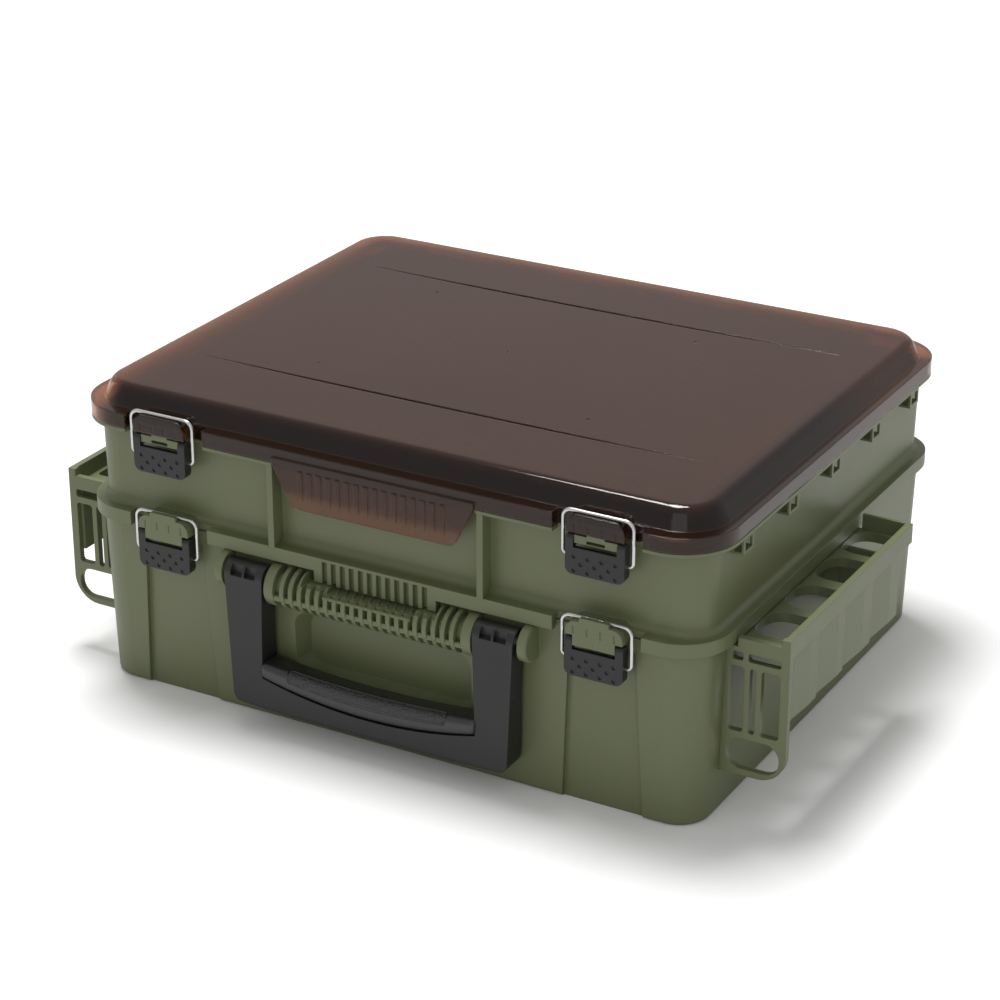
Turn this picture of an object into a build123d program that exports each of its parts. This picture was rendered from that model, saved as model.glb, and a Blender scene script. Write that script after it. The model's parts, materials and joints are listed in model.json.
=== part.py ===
"""Two-tier fishing tackle cabinet: a drafted lower box with a bail handle and two side racks,
an upper tray hinged to it at the back, and a smoked clear lid hinged to the tray, with two
draw latches on each tier. X runs along the front, Y from front to back, Z up from the floor."""

import os
from math import cos, radians, sin, tan

from build123d import *

# ---------------------------------------------------------------- driving dimensions (mm)
# lower box
base_length = 400.8  # at the floor
base_depth = 320.8
base_corner = 20.0
body_top = 113.0
body_draft = 1.8
body_wall = 2.8
body_floor = 3.0
base_edge_radius = 3.0

# overall envelope, from the lower box outwards
rim_overhang = 9.6
rim_length = base_length + 2 * rim_overhang  # lid rim along X
rim_depth = base_depth + 2 * rim_overhang  # lid rim along Y
rim_corner = 34.0
hinge_reach = 21.6  # from the lower box to the furthest point of the hinge barrels
rack_width = 41.1
envelope_rear = base_depth / 2 + hinge_reach
rack_reach = base_length / 2 + rack_width

# recessed bays below the lower latches and the hand pocket behind the handle
bay_depth = 3.0
plate_half = 18.0  # of a latch plate, which the bays and notches go round
bay_half_low = plate_half + 7.5
bay_half_high = plate_half + 2.5
bay_top = body_top - 9.0
pocket_inset = 7.6  # from the handle's legs to the pocket
pocket_low = 32.0
pocket_high = 79.0
pocket_depth = 9.0
pocket_corner = 12.0
pocket_slope = 7.0

# upper tray
tray_length = rim_length - 18.0  # at the skirt's lower edge
tray_depth = rim_depth - 21.6
tray_corner = 19.0
tray_draft = 1.0
tray_wall = 2.5
tray_floor = 2.6
tray_height = 57.9  # from the lower box to the lid's rim
skirt_low = body_top - 4.3
skirt_high = body_top + 4.4
skirt_length = rim_length - 2.0
skirt_depth = rim_depth - 1.4
skirt_corner = 31.0
skirt_gap = 1.2  # between the skirt and the lower box inside it
skirt_blend = 4.0
rest_gap = 0.3  # between a piece and what it rests on
lip_thickness = 2.0
upstand = 3.6  # tray wall above its lip, inside the lid's rim

# lid
rim_low = body_top + tray_height
rim_high = rim_low + 9.1
lid_top = rim_high + 12.0
lid_wall = 2.4
ledge_side = 6.5  # ledge between the rim's side faces and the raised panel
ledge_front = 9.0
bevel_draft = 28.0
bevel_round = 7.0
panel_corner = 27.0

# latches
latch_x = base_length / 2 - 57.9
notch_inner = latch_x - plate_half - 10.1
notch_outer = latch_x + plate_half + 8.5
pivot_y = -base_depth / 2 - 10.2
pivot_z = rim_low - 2.3
pivot_low = body_top - 5.8
latch_offset = pivot_z - pivot_low  # from an upper latch down to a lower one
pivot_radius = 1.2
bore_clearance = 0.06
ear_radius = 3.2
ear_width = 4.8
plate_height = 20.4  # below the pivot
plate_skin = 2.8
plate_depth = 6.2
window_half = plate_half - ear_width
window_drop = 4.4  # below the pivot
wire_radius = 1.1
wire_side = 3.3  # from the plate's side to the wire's centre line
wire_half = plate_half + wire_side
wire_corner = 5.0
foot_back = 0.8  # behind the pivot's plane
foot_drop = 10.6
wire_top_upper = rim_high + 4.3
wire_top_lower = body_top + 8.4
tab_half = plate_half - 0.4

# handle and its hinge
handle_thickness = 14.0
handle_room = 5.6  # between the lower box at the floor and the handle
handle_front = base_depth / 2 + handle_room + handle_thickness
grip_proud = 2.0  # of the grip in front of the handle
handle_pivot_z = body_top - 14.5
handle_barrel = 7.6
handle_pin = 3.0
leg_outer = latch_x - 46.5
leg_inner = leg_outer - 26.4
comb_half = leg_inner - 1.0
pocket_half = leg_inner - pocket_inset
comb_radius = 13.0
comb_z = body_top - 19.2
comb_end = 6.1
comb_pitch = 5.95
comb_ribs = int(2 * (comb_half - comb_end) / comb_pitch) - 1
comb_rib = 2.7
ear_gap = 2.0

# hinges at the back
hinge_radius = 6.5
hinge_half = base_length / 2 - 45.4
hinge_segments = 7
hinge_gap = 0.6
hinge_pin = 2.0

hinge_y = envelope_rear - hinge_radius
tray_hinge_z = body_top - 1.0
lid_hinge_z = rim_low + 3.1
plate_front = pivot_y - ear_radius
lip_high = rim_low - rest_gap
lip_low = lip_high - lip_thickness
tray_floor_low = body_top + rest_gap
tray_floor_high = tray_floor_low + tray_floor
tray_top = lip_high + upstand


def grown(half, height, draft):
    """Half width of a drafted wall at a height above the level where it is half."""
    return half + height * tan(radians(draft))


def drafted_block(length, depth, corner, low, high, draft=0.0, mode=Mode.ADD):
    """Upright block with round corners, sized at its lower face, whose walls lean by draft."""
    with BuildSketch(Plane.XY.offset(low)) as outline:
        RectangleRounded(length, depth, corner)
    extrude(outline.sketch, amount=high - low, taper=-draft, mode=mode)


def box_between(x_low, x_high, y_low, y_high, z_low, z_high, mode=Mode.ADD):
    """Plain block between two corners."""
    with Locations(((x_low + x_high) / 2, (y_low + y_high) / 2, (z_low + z_high) / 2)):
        Box(x_high - x_low, y_high - y_low, z_high - z_low, mode=mode)


def rod_along_x(radius, x_low, x_high, y, z, mode=Mode.ADD):
    """Round bar or hole along X."""
    with BuildSketch(Plane.YZ.offset(x_low)) as section:
        with Locations((y, z)):
            Circle(radius)
    extrude(section.sketch, amount=x_high - x_low, mode=mode)


def save(piece, label):
    """Name a finished piece and write its file."""
    piece.part.label = label
    export_step(piece.part, f"parts/{label}.step")


os.makedirs("parts", exist_ok=True)

# ---------------------------------------------------------------- shapes the pieces share
front_at_comb = grown(base_depth / 2, comb_z, body_draft)
front_at_top = grown(base_depth / 2, body_top, body_draft)
catch_low = 4.3  # from the pivot up to the catch, so that the plate can swing out under it
catch_lip = 2.5  # thickness of the lip in front of the wire
groove_gap = 0.15  # under the wire
bar_half = window_half - 0.1
bar_bore_depth = 3.0
handle_pivot_y = handle_barrel - handle_front


def hinge_spans(first):
    """Start and end of every second knuckle along the hinge, from the first or second one."""
    pitch = 2 * hinge_half / hinge_segments
    starts = [-hinge_half + pitch * k for k in range(first, hinge_segments, 2)]
    return [(x + hinge_gap / 2, x + pitch - hinge_gap / 2) for x in starts]


outer_spans = hinge_spans(0)
inner_spans = hinge_spans(1)


def knuckles(spans, z, y_low, z_low, z_high, bore):
    """Hinge barrels with the webs that join them to the wall in front of them."""
    with BuildPart() as barrels:
        for x_low, x_high in spans:
            box_between(x_low, x_high, y_low, hinge_y, z_low, z_high)
            rod_along_x(hinge_radius, x_low, x_high, hinge_y, z)
        rod_along_x(bore, -hinge_half - 1, hinge_half + 1, hinge_y, z, Mode.SUBTRACT)
    return barrels.part


def knuckle_room(spans, z):
    """Round clearance around the other leaf's barrels."""
    with BuildPart() as room:
        for x_low, x_high in spans:
            rod_along_x(hinge_radius + hinge_gap, x_low - hinge_gap, x_high + hinge_gap, hinge_y, z)
    return room.part


def pivot_bores(x, z):
    """Blind holes in both ends of a latch bar."""
    for side in (-1, 1):
        start = x + side * bar_half
        end = start - side * bar_bore_depth
        low, high = min(start, end), max(start, end)
        rod_along_x(pivot_radius + bore_clearance, low, high, pivot_y, z, Mode.SUBTRACT)


def rounded_tab(x, half, low, high, radius, y_front, y_back):
    """Upright plate standing along X, with its two upper corners rounded."""
    with BuildSketch(Plane.XZ.offset(-y_back)) as outline:
        with Locations((x, (low + high) / 2)):
            Rectangle(2 * half, high - low)
        fillet(outline.vertices().group_by(Axis.Y)[-1], radius)
    extrude(outline.sketch, amount=y_back - y_front)


def ticks(x, y_face, low, high):
    """Four short grooves in the face of a catch."""
    for k in range(4):
        centre = x + (k - 1.5) * tick_pitch
        box_between(
            centre - 0.5, centre + 0.5, y_face - 1, y_face + 0.4, low, high, Mode.SUBTRACT
        )


tick_pitch = 8.4

# ---------------------------------------------------------------- lower box
divider_thickness = 2.0
divider_play = 0.15
rib_width = 1.8
rib_reach = 3.5
divider_from_leg = 18.4  # from a handle leg's inner side to a base divider's middle
base_divider_x = leg_inner + divider_from_leg
base_divider_top = body_top - 17.0
bar_low = 1.9  # below and above the pivot
bar_high = 2.0
bar_front = 1.8  # in front of the pivot


def bay_prism(side, grow):
    """Prism of one latch bay, wider towards the floor, before it is cut to its depth."""
    with BuildPart() as prism:
        with BuildSketch(Plane.XZ.offset(base_depth / 2 - 20)) as outline:
            with BuildLine():
                Polyline(
                    (side * latch_x - bay_half_low - grow, -1),
                    (side * latch_x + bay_half_low + grow, -1),
                    (side * latch_x + bay_half_high + grow, bay_top + grow),
                    (side * latch_x - bay_half_high - grow, bay_top + grow),
                    close=True,
                )
            make_face()
        extrude(amount=60)
        inset = 2 * (bay_depth + grow)
        drafted_block(
            base_length, base_depth - inset, base_corner, -1, body_top, body_draft, Mode.SUBTRACT
        )
    return prism.part


def hand_pocket(grow):
    """Scoop behind the handle, with sloping sides, cut from the front."""
    mid = (pocket_low + pocket_high) / 2
    height = pocket_high - pocket_low
    mouth_y = base_depth / 2 + 8
    floor_y = base_depth / 2 - pocket_depth - grow
    with BuildPart() as scoop:
        with BuildSketch(Plane.XZ.offset(mouth_y)):
            with Locations((0, mid)):
                RectangleRounded(2 * (pocket_half + grow), height + 2 * grow, pocket_corner)
        with BuildSketch(Plane.XZ.offset(floor_y)):
            with Locations((0, mid)):
                RectangleRounded(
                    2 * (pocket_half + grow - pocket_slope),
                    height + 2 * (grow - pocket_slope),
                    pocket_corner - pocket_slope / 2,
                )
        loft()
    return scoop.part


def slot_ribs(x, y_low, y_high, z_low, z_high):
    """Pair of upright ribs that hold the edge of a divider."""
    inner = divider_thickness / 2 + divider_play
    for side in (-1, 1):
        near, far = x + side * inner, x + side * (inner + rib_width)
        box_between(min(near, far), max(near, far), y_low, y_high, z_low, z_high)


base_cavity_length = 2 * (grown(base_length / 2, body_floor, body_draft) - body_wall)
base_cavity_depth = 2 * (grown(base_depth / 2, body_floor, body_draft) - body_wall)

with BuildPart() as body_envelope:
    drafted_block(base_length, base_depth, base_corner, 0, body_top, body_draft)

with BuildPart() as body_cavity:
    drafted_block(
        base_cavity_length,
        base_cavity_depth,
        base_corner - body_wall,
        body_floor,
        body_top + 1,
        body_draft,
    )
    for side in (-1, 1):
        add(bay_prism(side, body_wall), mode=Mode.SUBTRACT)
    add(hand_pocket(body_wall), mode=Mode.SUBTRACT)

with BuildPart() as base_ribs:
    for side in (-1, 1):
        x = side * base_divider_x
        reach = base_cavity_depth / 2 - rib_reach
        slot_ribs(x, -front_at_top, -reach, body_floor, base_divider_top)
        slot_ribs(x, reach, front_at_top, body_floor, base_divider_top)
    add(body_cavity.part, mode=Mode.INTERSECT)

# half round lugs outside the handle's legs
lug_low = leg_outer + ear_gap
lug_thickness = 5.6
lug_radius = 11.0
lug_y = -base_depth / 2 - 8.2
lug_z = handle_pivot_z - 1.4
pin_end = lug_low + 3.0
pin_start = comb_half - 5.6

with BuildPart() as handle_lug:
    with BuildSketch(Plane.YZ.offset(lug_low)):
        with Locations((lug_y, lug_z)):
            Circle(lug_radius)
        with Locations(((lug_y - front_at_comb + 1.5) / 2, lug_z)):
            Rectangle(1.5 - front_at_comb - lug_y, 2 * lug_radius)
    extrude(amount=lug_thickness)
    fillet(handle_lug.faces().sort_by(Axis.X)[-1].edges(), 1.5)
    box_between(
        lug_low - 1,
        lug_low + lug_thickness + 1,
        -front_at_comb + 1.5,
        -front_at_comb + 30,
        lug_z - 2 * lug_radius,
        lug_z + 2 * lug_radius,
        Mode.SUBTRACT,
    )
    rod_along_x(
        handle_pin, lug_low - 1, pin_end, handle_pivot_y, handle_pivot_z, Mode.SUBTRACT
    )

with BuildPart() as lower_body:
    add(body_envelope.part)
    fillet(lower_body.faces().sort_by(Axis.Z)[0].edges(), base_edge_radius)
    for side in (-1, 1):
        add(bay_prism(side, 0), mode=Mode.SUBTRACT)
    add(hand_pocket(0), mode=Mode.SUBTRACT)
    add(body_cavity.part, mode=Mode.SUBTRACT)
    add(base_ribs.part)
    add(handle_lug.part)
    add(handle_lug.part.mirror(Plane.YZ))
    for side in (-1, 1):
        x = side * latch_x
        box_between(
            x - bar_half,
            x + bar_half,
            pivot_y - bar_front,
            -front_at_top + 2,
            pivot_low - bar_low,
            pivot_low + bar_high,
        )
        pivot_bores(x, pivot_low)
    add(
        knuckles(
            outer_spans, tray_hinge_z, front_at_top - 2.4, body_top - 16, skirt_low - 0.5, hinge_pin
        )
    )
save(lower_body, "lower_body")

with BuildPart() as base_divider_room:
    drafted_block(
        base_cavity_length - 2 * rest_gap,
        base_cavity_depth - 2 * rest_gap,
        base_corner - body_wall - rest_gap,
        body_floor,
        body_top,
        body_draft,
    )
for side, name in ((-1, "left"), (1, "right")):
    x = side * base_divider_x
    with BuildPart() as base_divider:
        box_between(
            x - divider_thickness / 2,
            x + divider_thickness / 2,
            -front_at_top,
            front_at_top,
            body_floor,
            base_divider_top,
        )
        add(base_divider_room.part, mode=Mode.INTERSECT)
    save(base_divider, f"base_divider_{name}")

# ---------------------------------------------------------------- handle hinge comb
comb_core = 8.5
comb_flat_half = 0.65 * comb_half
comb_flat = comb_z + 7.2
comb_gap_half = 0.4257 * comb_half
comb_gap_floor = comb_z + 4.7
comb_sides = 20  # flats round a repeated rib
comb_back = -front_at_comb + 8


def half_round(radius, x_low, x_high, sides=0):
    """Bar along X with a round or many-sided front whose back runs into the wall."""
    with BuildSketch(Plane.YZ.offset(x_low)) as section:
        with Locations((comb_front_centre, comb_z)):
            if sides:
                RegularPolygon(radius, sides)
            else:
                Circle(radius)
        with Locations(((comb_front_centre + comb_back) / 2, comb_z)):
            Rectangle(comb_back - comb_front_centre, 2 * radius)
    extrude(section.sketch, amount=x_high - x_low)


comb_front_centre = comb_radius - handle_front

with BuildPart() as hinge_comb:
    half_round(comb_core, -comb_half, comb_half)
    for side in (-1, 1):
        inner, outer = side * (comb_half - comb_end), side * comb_half
        half_round(comb_radius, min(inner, outer), max(inner, outer))
    for k in range(comb_ribs):
        x = (k - (comb_ribs - 1) / 2) * comb_pitch
        half_round(comb_radius, x - comb_rib / 2, x + comb_rib / 2, comb_sides)
    box_between(
        -comb_flat_half, comb_flat_half, -200, comb_back, comb_flat, body_top, Mode.SUBTRACT
    )
    box_between(
        -comb_gap_half, comb_gap_half, -200, comb_back, comb_gap_floor, body_top, Mode.SUBTRACT
    )
    box_between(
        -comb_gap_half,
        comb_gap_half,
        1.1 - handle_front,
        2.8 - handle_front,
        comb_gap_floor - 1.6,
        comb_gap_floor,
    )
    box_between(
        -comb_half, comb_half, 1.2 - handle_front, 3.8 - handle_front, comb_z - 5.3, comb_z - 2.3
    )
    with Locations((0, lug_y, comb_gap_floor)):
        with GridLocations(5.5, 1, 10, 1):
            Box(1.4, 8, 1.2, rotation=(0, 0, 18))
    add(body_envelope.part, mode=Mode.SUBTRACT)
    for side in (-1, 1):
        low, high = sorted((side * pin_start, side * (comb_half + 1)))
        rod_along_x(handle_pin, low, high, handle_pivot_y, handle_pivot_z, Mode.SUBTRACT)
save(hinge_comb, "hinge_comb")

for side, name in ((-1, "left"), (1, "right")):
    with BuildPart() as handle_axle:
        low, high = sorted((side * pin_start, side * pin_end))
        rod_along_x(handle_pin, low, high, handle_pivot_y, handle_pivot_z)
    save(handle_axle, f"handle_pin_{name}")

# ---------------------------------------------------------------- side racks
rack_front = 26.4 - base_depth / 2
rack_band_rear = rack_front + 176.0
rack_rear = rack_front + 164.0  # of the wall below the band
rack_frame = 4.0
rack_plate = 4.0
rack_recess = 2.5  # of the lower wall behind the band
rack_low = 62.0
rack_band_low = body_top - 8.0
rack_top = body_top + 4.0
rack_loop_low = 28.0
rack_loop_high = 51.0
rack_loop_corner = 17.0
rack_window_low = 55.0
rack_window_high = body_top - 18.0
shelf_low = body_top - 8.0
shelf_high = shelf_low + 2.0
rack_step = 1.9
rack_step_run = 30.0
rack_step_lines = [rack_front + run for run in (6.0, 45.2, 82.7, 122.9)]
rack_hole_lines = [rack_front + run for run in (35.0, 75.0, 117.0, 157.0)]
rack_hole_width = 26.0
rack_hole_margin = 0.5  # between a hole and the outer wall
rack_hole_x = rack_reach - rack_recess - rack_plate - rack_hole_margin - rack_hole_width / 2
rack_hole_length = 32.0
rack_hole_corner = 11.0  # on the side towards the box
rack_hole_flat_corner = 3.0
collar = 2.0
collar_depth = 5.0
skirt_side_room = skirt_length / 2 + 1.6  # inner end of what stands beside the tray's skirt


def rack_hole(grow):
    """Outline of a D shaped hole whose flat side is outwards."""
    with BuildSketch() as outline:
        Rectangle(rack_hole_width + 2 * grow, rack_hole_length + 2 * grow)
        fillet(outline.vertices().group_by(Axis.X)[0], rack_hole_corner + grow)
        fillet(outline.vertices().group_by(Axis.X)[-1], rack_hole_flat_corner + grow)
    return outline.sketch


def window_cut(x_low, x_high, z_low, z_high, radius):
    """Rounded window through the rack's front frame."""
    with BuildSketch(Plane.XZ.offset(-rack_front - rack_frame)) as window:
        with Locations(((x_low + x_high) / 2, (z_low + z_high) / 2)):
            RectangleRounded(x_high - x_low, z_high - z_low, radius)
    extrude(window.sketch, amount=rack_frame + 1, mode=Mode.SUBTRACT)


with BuildPart() as rack:
    # band along the top, and below it the outer wall with its saw-tooth steps
    box_between(
        rack_reach - rack_plate,
        rack_reach,
        rack_front + 1,
        rack_band_rear,
        rack_band_low,
        rack_top,
    )
    wall_face = rack_reach - rack_recess
    box_between(
        wall_face - rack_plate, wall_face, rack_front + 1, rack_rear, rack_low, rack_band_low + 1
    )
    for line in rack_step_lines:
        with BuildSketch(Plane.XY.offset(rack_low - 1)) as wedge:
            with BuildLine():
                Polyline(
                    (wall_face + 0.1, line),
                    (wall_face - rack_step, line),
                    (wall_face + 0.1, line + rack_step_run),
                    close=True,
                )
            make_face()
        extrude(amount=rack_band_low - rack_low + 1, mode=Mode.SUBTRACT)
    # front frame
    with BuildSketch(Plane.XZ.offset(-rack_front - rack_frame)) as frame_outline:
        with BuildLine():
            Polyline(
                (base_length / 2 - 6, rack_loop_low),
                (rack_reach, rack_loop_low),
                (rack_reach, rack_top),
                (base_length / 2 - 6, rack_top),
                close=True,
            )
        make_face()
        corners = frame_outline.vertices().group_by(Axis.Y)[0].sort_by(Axis.X)
        fillet(corners[-1:], rack_loop_corner)
    extrude(amount=rack_frame)
    window_cut(base_length / 2 + 5, rack_reach - 4, rack_loop_low + 4, rack_loop_high, 9)
    window_cut(base_length / 2 + 5.5, rack_reach - 26.5, rack_window_low, rack_window_high, 2)
    window_cut(rack_reach - 23.3, rack_reach - 19.5, rack_window_low, rack_window_high, 1.5)
    window_cut(rack_reach - 16.3, rack_reach - 5, rack_window_low, rack_window_high, 2)
    window_cut(base_length / 2 + 7, rack_reach - 27.5, rack_window_high + 4, shelf_low - 1, 1.5)
    window_cut(rack_reach - 24.5, rack_reach - 5, rack_window_high + 4, shelf_low - 1, 1.5)
    inboard = base_length / 2 - 10
    cut_front = rack_front - rack_frame - 1
    cut_rear = rack_front + 14
    box_between(
        inboard, skirt_side_room, cut_front, cut_rear, shelf_high, rack_top + 3, Mode.SUBTRACT
    )
    box_between(
        skirt_side_room,
        rack_reach - 5,
        cut_front,
        cut_rear,
        shelf_high + 5.5,
        rack_top + 3,
        Mode.SUBTRACT,
    )
    # shelf, its rear walls and the holes with their collars
    box_between(
        inboard, rack_reach - 1, rack_front + 1, rack_band_rear - 1, shelf_low, shelf_high
    )
    box_between(inboard, wall_face - 1, rack_rear - 2, rack_rear, rack_low, shelf_low + 1)
    box_between(
        inboard, rack_reach - 1, rack_band_rear - 2, rack_band_rear, shelf_low, shelf_high
    )
    box_between(
        skirt_side_room,
        rack_reach - 1,
        rack_band_rear - 2,
        rack_band_rear,
        shelf_low,
        rack_top,
    )
    for line in rack_hole_lines:
        with Locations((rack_hole_x, line, shelf_low - collar_depth + 1)):
            add(extrude(rack_hole(collar), amount=collar_depth, mode=Mode.PRIVATE))
    for line in rack_hole_lines:
        with Locations((rack_hole_x, line, shelf_low - collar_depth)):
            add(
                extrude(rack_hole(0), amount=collar_depth + 4, mode=Mode.PRIVATE),
                mode=Mode.SUBTRACT,
            )
    add(body_envelope.part, mode=Mode.SUBTRACT)
with BuildPart() as rack_right:
    add(rack.part)
save(rack_right, "rack_right")
with BuildPart() as rack_left:
    add(rack.part.mirror(Plane.YZ))
save(rack_left, "rack_left")

# ---------------------------------------------------------------- upper tray
partition_y = 30.0
partition = 2.2
partition_top = rim_low - 6.9
front_divider_lines = (-100.0, 0.0, 100.0)
rear_divider_lines = (-70.0, 70.0)
notch_face = base_depth / 2 + 2.4  # front face left inside the latch notches
fin_thickness = 4.0
grip_half = 40.5
grip_low = skirt_low - 6.9
grip_gaps = 12
grip_pitch = 6.05
grip_gap_width = 3.4
loop_margin = 39.482  # from the tray's corner to its outer loops
loop_pitch = (tray_depth / 2 - loop_margin) / 2
loop_length = 13.0
loop_low = lip_low - 10.1
loop_reach = rim_length / 2 - 0.8
loop_wall = 1.5
tongue_half = 66.0
tongue_room = 0.7
fin_low = tongue_half + 1.0
fin_high = fin_low + fin_thickness

skirt_inner_length = 2 * (grown(base_length / 2, body_top, body_draft) + skirt_gap)
skirt_inner_depth = 2 * (front_at_top + skirt_gap)
skirt_inner_corner = grown(base_corner, body_top, body_draft) + skirt_gap


def tray_inside(height):
    """Half of the tray's cavity along Y at a height."""
    return grown(tray_depth / 2, height - skirt_low, tray_draft) - tray_wall


tray_skin = 0.4 - tray_depth / 2  # just inside the front wall's face

with BuildPart() as tray_cavity:
    shrink = 2 * (tray_wall - grown(0, tray_floor_high - skirt_low, tray_draft))
    drafted_block(
        tray_length - shrink,
        tray_depth - shrink,
        tray_corner - tray_wall,
        tray_floor_high,
        tray_top + 1,
        tray_draft,
    )

with BuildPart() as tray_inner_ribs:
    box_between(
        -tray_length, tray_length, partition_y, partition_y + partition, tray_floor_high, partition_top
    )
    wall_y = tray_inside(tray_floor_high) - rib_reach
    for x in front_divider_lines:
        slot_ribs(x, -tray_depth, -wall_y, tray_floor_high, partition_top)
        slot_ribs(x, partition_y - rib_reach, partition_y, tray_floor_high, partition_top)
    for x in rear_divider_lines:
        slot_ribs(x, wall_y, tray_depth, tray_floor_high, partition_top)
        slot_ribs(
            x,
            partition_y + partition,
            partition_y + partition + rib_reach,
            tray_floor_high,
            partition_top,
        )
    add(tray_cavity.part, mode=Mode.INTERSECT)

with BuildPart() as upper_tray:
    drafted_block(tray_length, tray_depth, tray_corner, skirt_low, tray_top, tray_draft)
    drafted_block(skirt_length, skirt_depth, skirt_corner, skirt_low, skirt_high)
    ledge = upper_tray.faces().filter_by_position(Axis.Z, skirt_high - 0.1, skirt_high + 0.1)
    fillet(ledge[0].inner_wires()[0].edges(), skirt_blend)
    drafted_block(rim_length, rim_depth, rim_corner, lip_low, lip_high)
    drafted_block(
        skirt_inner_length,
        skirt_inner_depth,
        skirt_inner_corner,
        skirt_low - 1,
        tray_floor_low,
        mode=Mode.SUBTRACT,
    )
    add(tray_cavity.part, mode=Mode.SUBTRACT)
    add(tray_inner_ribs.part)
    # room for the lid's tongue, and the fins beside it
    box_between(
        -tongue_half - tongue_room,
        tongue_half + tongue_room,
        -rim_depth / 2 - 1,
        -rim_depth / 2 + 1.4,
        lip_low - 1,
        lip_high + 1,
        Mode.SUBTRACT,
    )
    for side in (-1, 1):
        low, high = sorted((side * fin_low, side * fin_high))
        box_between(low, high, 0.5 - rim_depth / 2, tray_skin, skirt_high - 1, lip_low + 1)
    # finger grip under the middle of the skirt
    box_between(
        -grip_half,
        grip_half,
        -skirt_depth / 2,
        -skirt_inner_depth / 2 - 0.2,
        grip_low,
        tray_floor_low,
    )
    grip_high = skirt_high - 1.9
    with Locations((0, -skirt_depth / 2, (grip_low + grip_high) / 2 - 0.5)):
        with GridLocations(grip_pitch, 1, grip_gaps, 1):
            Box(grip_gap_width, 5.8, grip_high - grip_low + 1, mode=Mode.SUBTRACT)
    # latch notches, bars and lower catches
    for side in (-1, 1):
        low, high = sorted((side * notch_inner, side * notch_outer))
        box_between(low, high, -190, -notch_face, skirt_low - 1, skirt_high + 0.1, Mode.SUBTRACT)
        box_between(low, high, -190, -notch_face, lip_low - 1, lip_high + 0.1, Mode.SUBTRACT)
        x = side * latch_x
        bar_face = pivot_y - 2.3
        low, high = x - bar_half, x + bar_half
        box_between(low, high, bar_face, pivot_y + 5.6, pivot_z - 2, pivot_z + 2.7)
        box_between(low, high, pivot_y + 4.6, tray_skin, pivot_z - 2, lip_high)
        box_between(x - 5.4, x + 5.4, bar_face, pivot_y + 2.6, pivot_z, pivot_z + 3.9)
        box_between(
            x - 5.6,
            x + 5.6,
            bar_face - 1,
            pivot_y + 1.7,
            pivot_z - 1.4,
            pivot_z + 0.5,
            Mode.SUBTRACT,
        )
        pivot_bores(x, pivot_z)
        shoulder = wire_top_lower - wire_radius - groove_gap
        rounded_tab(x, tab_half, pivot_low + catch_low, shoulder, 6.5, plate_front, pivot_y + 5.4)
        rounded_tab(x, tab_half, tray_floor_low, shoulder, 6.3, pivot_y + 4.6, tray_skin)
        rounded_tab(
            x,
            9.2,
            pivot_low + catch_low,
            wire_top_lower + 1.4,
            1.2,
            plate_front,
            plate_front + catch_lip,
        )
        box_between(
            x - window_half + 0.2,
            x + window_half - 0.2,
            plate_front,
            plate_front + 1.2,
            pivot_low - bar_low,
            pivot_low + catch_low + 1,
        )
        ticks(x, plate_front, pivot_low + catch_low + 1, pivot_low + catch_low + 5.5)
    # clip loops along both sides
    for side in (-1, 1):
        for k in range(5):
            y = (k - 2) * loop_pitch - 1.6
            low, high = sorted((side * (tray_length / 2 - 0.5), side * loop_reach))
            box_between(low, high, y - loop_length / 2, y + loop_length / 2, loop_low, lip_low + 0.5)
            low, high = sorted((side * (tray_length / 2 + 2.2), side * (loop_reach - loop_wall)))
            box_between(
                low,
                high,
                y - loop_length,
                y + loop_length,
                loop_low + loop_wall,
                lip_low,
                Mode.SUBTRACT,
            )
            low, high = sorted((side * (loop_reach - 4.2), side * (loop_reach + 1)))
            box_between(low, high, y - 4.5, y + 4.5, loop_low + 1.8, lip_low - 1.6, Mode.SUBTRACT)
    # hinges
    add(knuckle_room(outer_spans, tray_hinge_z), mode=Mode.SUBTRACT)
    add(knuckle_room(outer_spans, lid_hinge_z), mode=Mode.SUBTRACT)
    add(
        knuckles(
            inner_spans,
            tray_hinge_z,
            skirt_inner_depth / 2 + 0.5,
            skirt_low,
            skirt_high,
            hinge_pin + bore_clearance,
        )
    )
    add(
        knuckles(
            inner_spans,
            lid_hinge_z,
            rim_depth / 2 - 4,
            lid_hinge_z - hinge_radius,
            lip_high,
            hinge_pin,
        )
    )
save(upper_tray, "upper_tray")

with BuildPart() as tray_divider_room:
    shrink = shrink + 2 * rest_gap
    drafted_block(
        tray_length - shrink,
        tray_depth - shrink,
        tray_corner - tray_wall - rest_gap,
        tray_floor_high,
        tray_top,
        tray_draft,
    )


def tray_divider(x, y_low, y_high, label):
    """Loose divider plate that drops between two pairs of guide ribs."""
    with BuildPart() as plate:
        half = divider_thickness / 2
        box_between(x - half, x + half, y_low, y_high, tray_floor_high, partition_top - 2)
        add(tray_divider_room.part, mode=Mode.INTERSECT)
    save(plate, label)


for k, x in enumerate(front_divider_lines):
    tray_divider(x, -tray_depth, partition_y - rest_gap, f"tray_divider_front_{k + 1}")
for k, x in enumerate(rear_divider_lines):
    tray_divider(x, partition_y + partition + rest_gap, tray_depth, f"tray_divider_rear_{k + 1}")

# ---------------------------------------------------------------- hinge pins
for z, name in ((tray_hinge_z, "tray_hinge_pin"), (lid_hinge_z, "lid_hinge_pin")):
    with BuildPart() as steel_pin:
        rod_along_x(hinge_pin, 1 - hinge_half, hinge_half - 1, hinge_y, z)
    save(steel_pin, name)

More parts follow.
